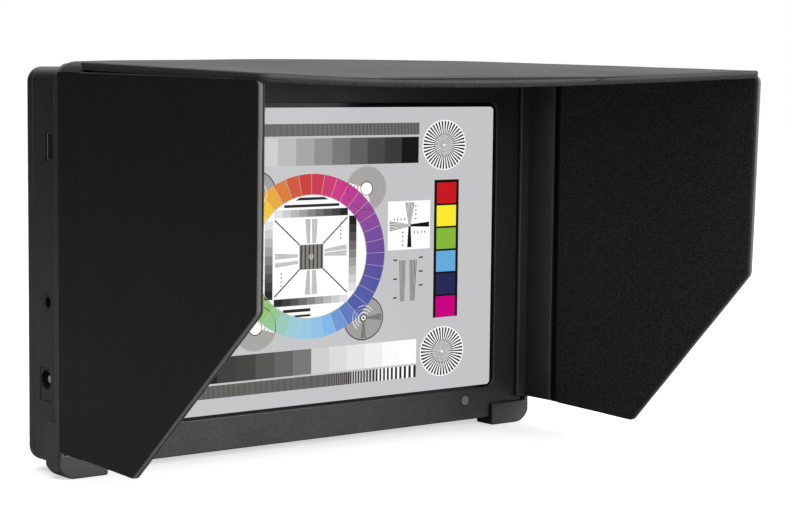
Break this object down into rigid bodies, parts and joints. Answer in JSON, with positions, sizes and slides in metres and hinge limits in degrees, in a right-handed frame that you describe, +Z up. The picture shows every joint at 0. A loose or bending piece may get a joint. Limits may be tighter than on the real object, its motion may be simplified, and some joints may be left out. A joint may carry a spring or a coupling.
{
  "type": "camera field monitor with sun hood",
  "caption": "Flat camera-top video monitor with a glass screen, side sockets, a rear battery plate and a clip-on sun hood whose leather flaps fold.",
  "frame": {"origin": "mouth of the tripod socket in the middle of the monitor's underside", "axes": "+X to the right of a person facing the screen's back, seen from the front along the screen's width; the screen faces -Y; +Z up"},
  "size_m": [0.1846, 0.1368, 0.1234],
  "materials": {
    "casing": "fine-textured charcoal plastic",
    "cover_glass": "anti-glare clear",
    "gasket": "matt black foam",
    "display": "lit test picture",
    "backlight": "white diffuser",
    "sheet_metal": "plated sheet",
    "ribbon": "polyimide film",
    "board": "solder mask",
    "chips": "moulded packages",
    "brass": "turned",
    "screw": "zinc plated",
    "black_screw": "blackened",
    "socket_metal": "nickel-plated shell",
    "socket_plastic": "moulded black",
    "pin": "nickel plated",
    "switch": "plated",
    "lamp": "clear lens, unlit",
    "lamp_ring": "satin ring",
    "speaker": "moulded",
    "plate": "moulded black",
    "contact": "gold plated",
    "spring": "spring steel",
    "latch": "moulded",
    "button": "satin",
    "hood_plastic": "satin black",
    "leather": "smooth black grained",
    "stiffener": "pressed board",
    "lining": "black ribbed knit"
  },
  "bodies": {
    "monitor": {"front_casing": "casing", "rear_cover": "casing", "display_glass": "cover_glass", "glass_gasket": "gasket", "lcd_panel": "display", "backlight": "backlight", "lcd_tray": "sheet_metal", "display_ribbon": "ribbon", "main_board": "board", "board_chips": "chips", "board_standoffs": "brass", "board_screws": "screw", "tray_screws": "screw", "small_video_socket": "socket_metal", "headphone_socket": "socket_plastic", "power_socket": "socket_plastic", "power_pin": "pin", "video_socket": "socket_metal", "keypad_board": "board", "keypad_screws": "screw", "tact_switches": "switch", "status_lamp": "lamp", "lamp_ring": "lamp_ring", "lamp_board": "board", "speaker": "speaker", "tripod_bush": "brass", "rear_inserts": "brass", "cover_screws": "black_screw", "battery_plate": "plate", "battery_contacts": "contact", "plate_screws": "screw", "latch_spring": "spring"},
    "hood": {"hood_frame": "hood_plastic", "left_rim_leather": "leather", "right_rim_leather": "leather", "top_rim_leather": "leather"},
    "left_flap": {"left_flap_cover": "leather", "left_flap_board": "stiffener", "left_flap_lining": "lining"},
    "right_flap": {"right_flap_cover": "leather", "right_flap_board": "stiffener", "right_flap_lining": "lining"},
    "top_flap": {"top_flap_cover": "leather", "top_flap_board": "stiffener", "top_flap_lining": "lining"},
    "power_button": {"power_button": "button"},
    "input_button": {"input_button": "button"},
    "menu_button": {"menu_button": "button"},
    "down_button": {"down_button": "button"},
    "up_button": {"up_button": "button"},
    "exit_button": {"exit_button": "button"},
    "battery_latch": {"battery_latch": "latch"}
  },
  "joints": [
    {"name": "hood_slide", "type": "slide", "parent": "monitor", "child": "hood", "axis": [0, -1, 0], "range_m": [0, 0.02]},
    {"name": "left_flap_fold", "type": "hinge", "parent": "hood", "child": "left_flap", "pos_m": [-0.0911, -0.0263, 0.062], "axis": [0, 0, 1], "range_deg": [0, 90]},
    {"name": "right_flap_fold", "type": "hinge", "parent": "hood", "child": "right_flap", "pos_m": [0.0911, -0.0263, 0.062], "axis": [0, 0, -1], "range_deg": [0, 90]},
    {"name": "top_flap_lift", "type": "hinge", "parent": "hood", "child": "top_flap", "pos_m": [0, -0.0263, 0.1208], "axis": [-1, 0, 0], "range_deg": [0, 90]},
    {"name": "power_button_press", "type": "slide", "parent": "monitor", "child": "power_button", "axis": [0, 0, -1], "range_m": [0, 0.0005], "stiffness_N_per_m": 900, "springref_m": -0.001},
    {"name": "input_button_press", "type": "slide", "parent": "monitor", "child": "input_button", "axis": [0, 0, -1], "range_m": [0, 0.0005], "stiffness_N_per_m": 900, "springref_m": -0.001},
    {"name": "menu_button_press", "type": "slide", "parent": "monitor", "child": "menu_button", "axis": [0, 0, -1], "range_m": [0, 0.0005], "stiffness_N_per_m": 900, "springref_m": -0.001},
    {"name": "down_button_press", "type": "slide", "parent": "monitor", "child": "down_button", "axis": [0, 0, -1], "range_m": [0, 0.0005], "stiffness_N_per_m": 900, "springref_m": -0.001},
    {"name": "up_button_press", "type": "slide", "parent": "monitor", "child": "up_button", "axis": [0, 0, -1], "range_m": [0, 0.0005], "stiffness_N_per_m": 900, "springref_m": -0.001},
    {"name": "exit_button_press", "type": "slide", "parent": "monitor", "child": "exit_button", "axis": [0, 0, -1], "range_m": [0, 0.0005], "stiffness_N_per_m": 900, "springref_m": -0.001},
    {"name": "battery_latch_press", "type": "slide", "parent": "monitor", "child": "battery_latch", "axis": [0, -1, 0], "range_m": [0, 0.0014], "stiffness_N_per_m": 800, "springref_m": -0.001}
  ]
}
